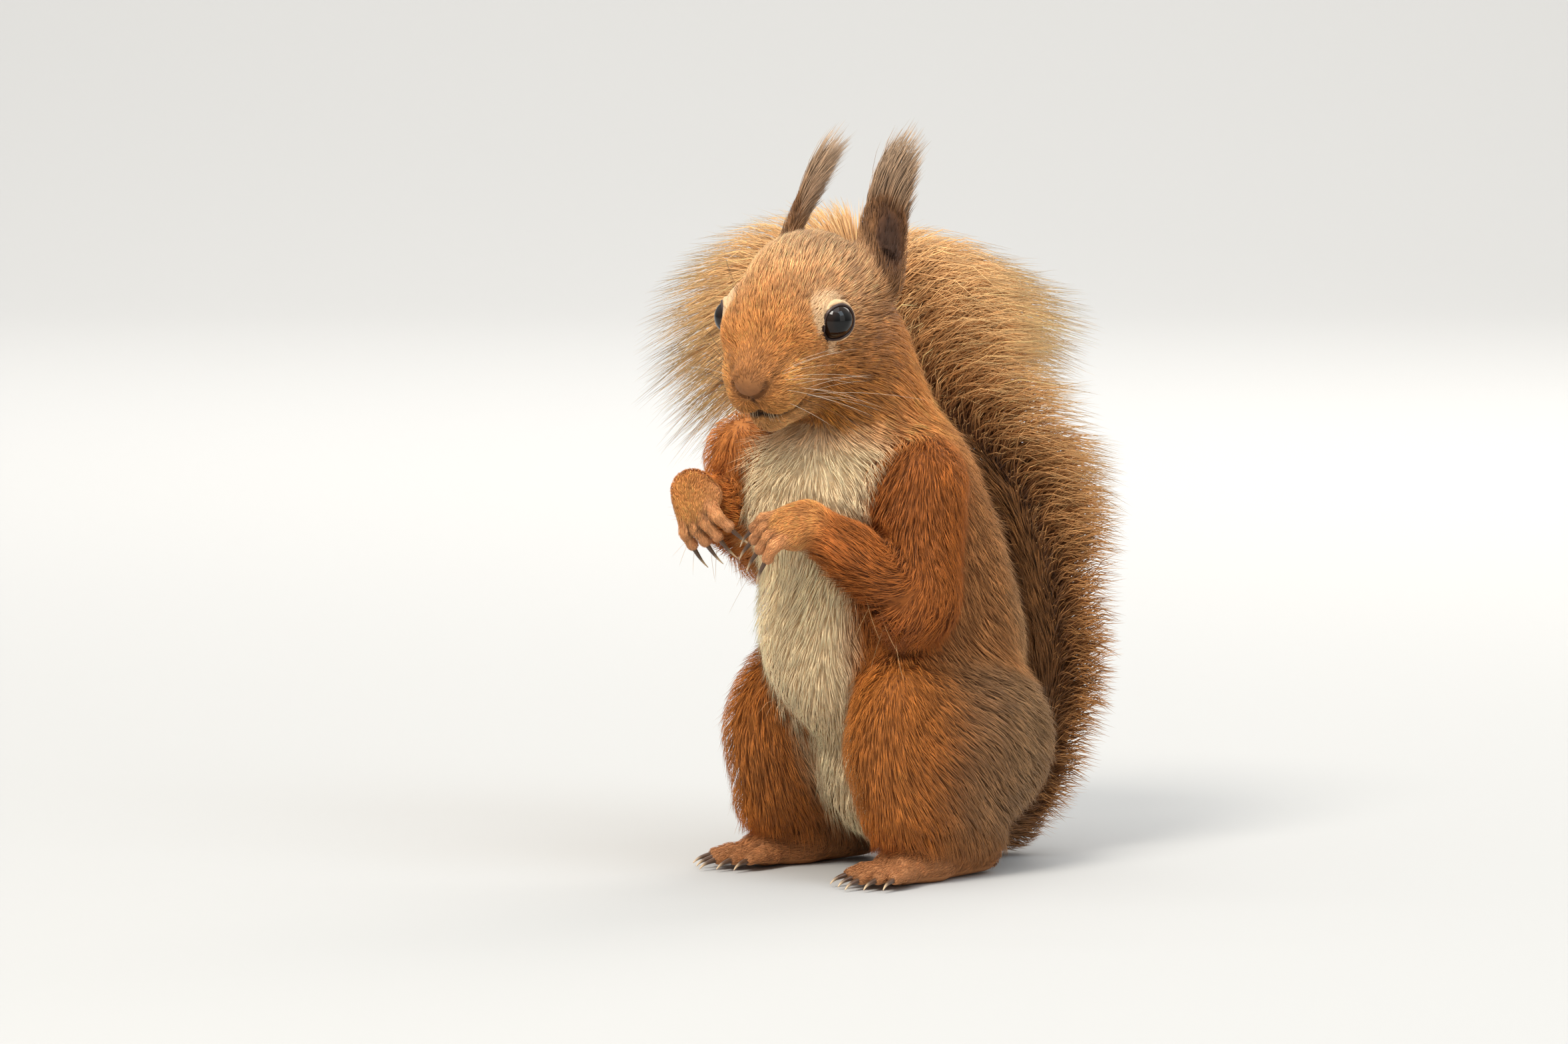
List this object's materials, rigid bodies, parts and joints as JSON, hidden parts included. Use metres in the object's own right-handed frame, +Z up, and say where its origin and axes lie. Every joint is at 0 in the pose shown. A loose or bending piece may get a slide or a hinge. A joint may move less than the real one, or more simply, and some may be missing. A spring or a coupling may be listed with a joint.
{
  "type": "red squirrel",
  "caption": "Life-size still red squirrel sitting up on its haunches, forepaws before its chest, ears tufted, bushy tail raised behind its back.",
  "frame": {"origin": "on the floor, below the middle of the bounding box", "axes": "+Z is up; the body faces -Y; the animal's left side is +X"},
  "size_m": [0.124, 0.1336, 0.1909],
  "materials": {
    "coat_red": "short dense russet fur, matt",
    "coat_pale": "cream fur on the front, russet on the back, matt",
    "coat_tail": "long brown tail hair, matt",
    "coat_ear": "thin grey-brown fur with a long tuft, matt",
    "coat_paw": "short orange fur over pinkish skin, matt",
    "claw": "dark horn, satin",
    "eye": "wet black, gloss"
  },
  "bodies": {
    "root": {"claw_fore_left_2": "claw", "claw_fore_left_3": "claw", "claw_fore_left_4": "claw", "claw_fore_left_5": "claw", "claw_fore_right_2": "claw", "claw_fore_right_3": "claw", "claw_fore_right_4": "claw", "claw_fore_right_5": "claw", "claw_hind_left_1": "claw", "claw_hind_left_2": "claw", "claw_hind_left_3": "claw", "claw_hind_left_4": "claw", "claw_hind_left_5": "claw", "claw_hind_right_1": "claw", "claw_hind_right_2": "claw", "claw_hind_right_3": "claw", "claw_hind_right_4": "claw", "claw_hind_right_5": "claw", "ear_left": "coat_ear", "ear_right": "coat_ear", "eye_left": "eye", "eye_right": "eye", "forearm_left": "coat_red", "forearm_right": "coat_red", "forepaw_left": "coat_paw", "forepaw_right": "coat_paw", "head": "coat_red", "hind_foot_left": "coat_paw", "hind_foot_right": "coat_paw", "neck": "coat_red", "shank_left": "coat_red", "shank_right": "coat_red", "tail_base": "coat_tail", "tail_middle": "coat_tail", "tail_tip": "coat_tail", "thigh_left": "coat_red", "thigh_right": "coat_red", "trunk": "coat_pale", "upper_arm_left": "coat_red", "upper_arm_right": "coat_red"}
  },
  "joints": []
}
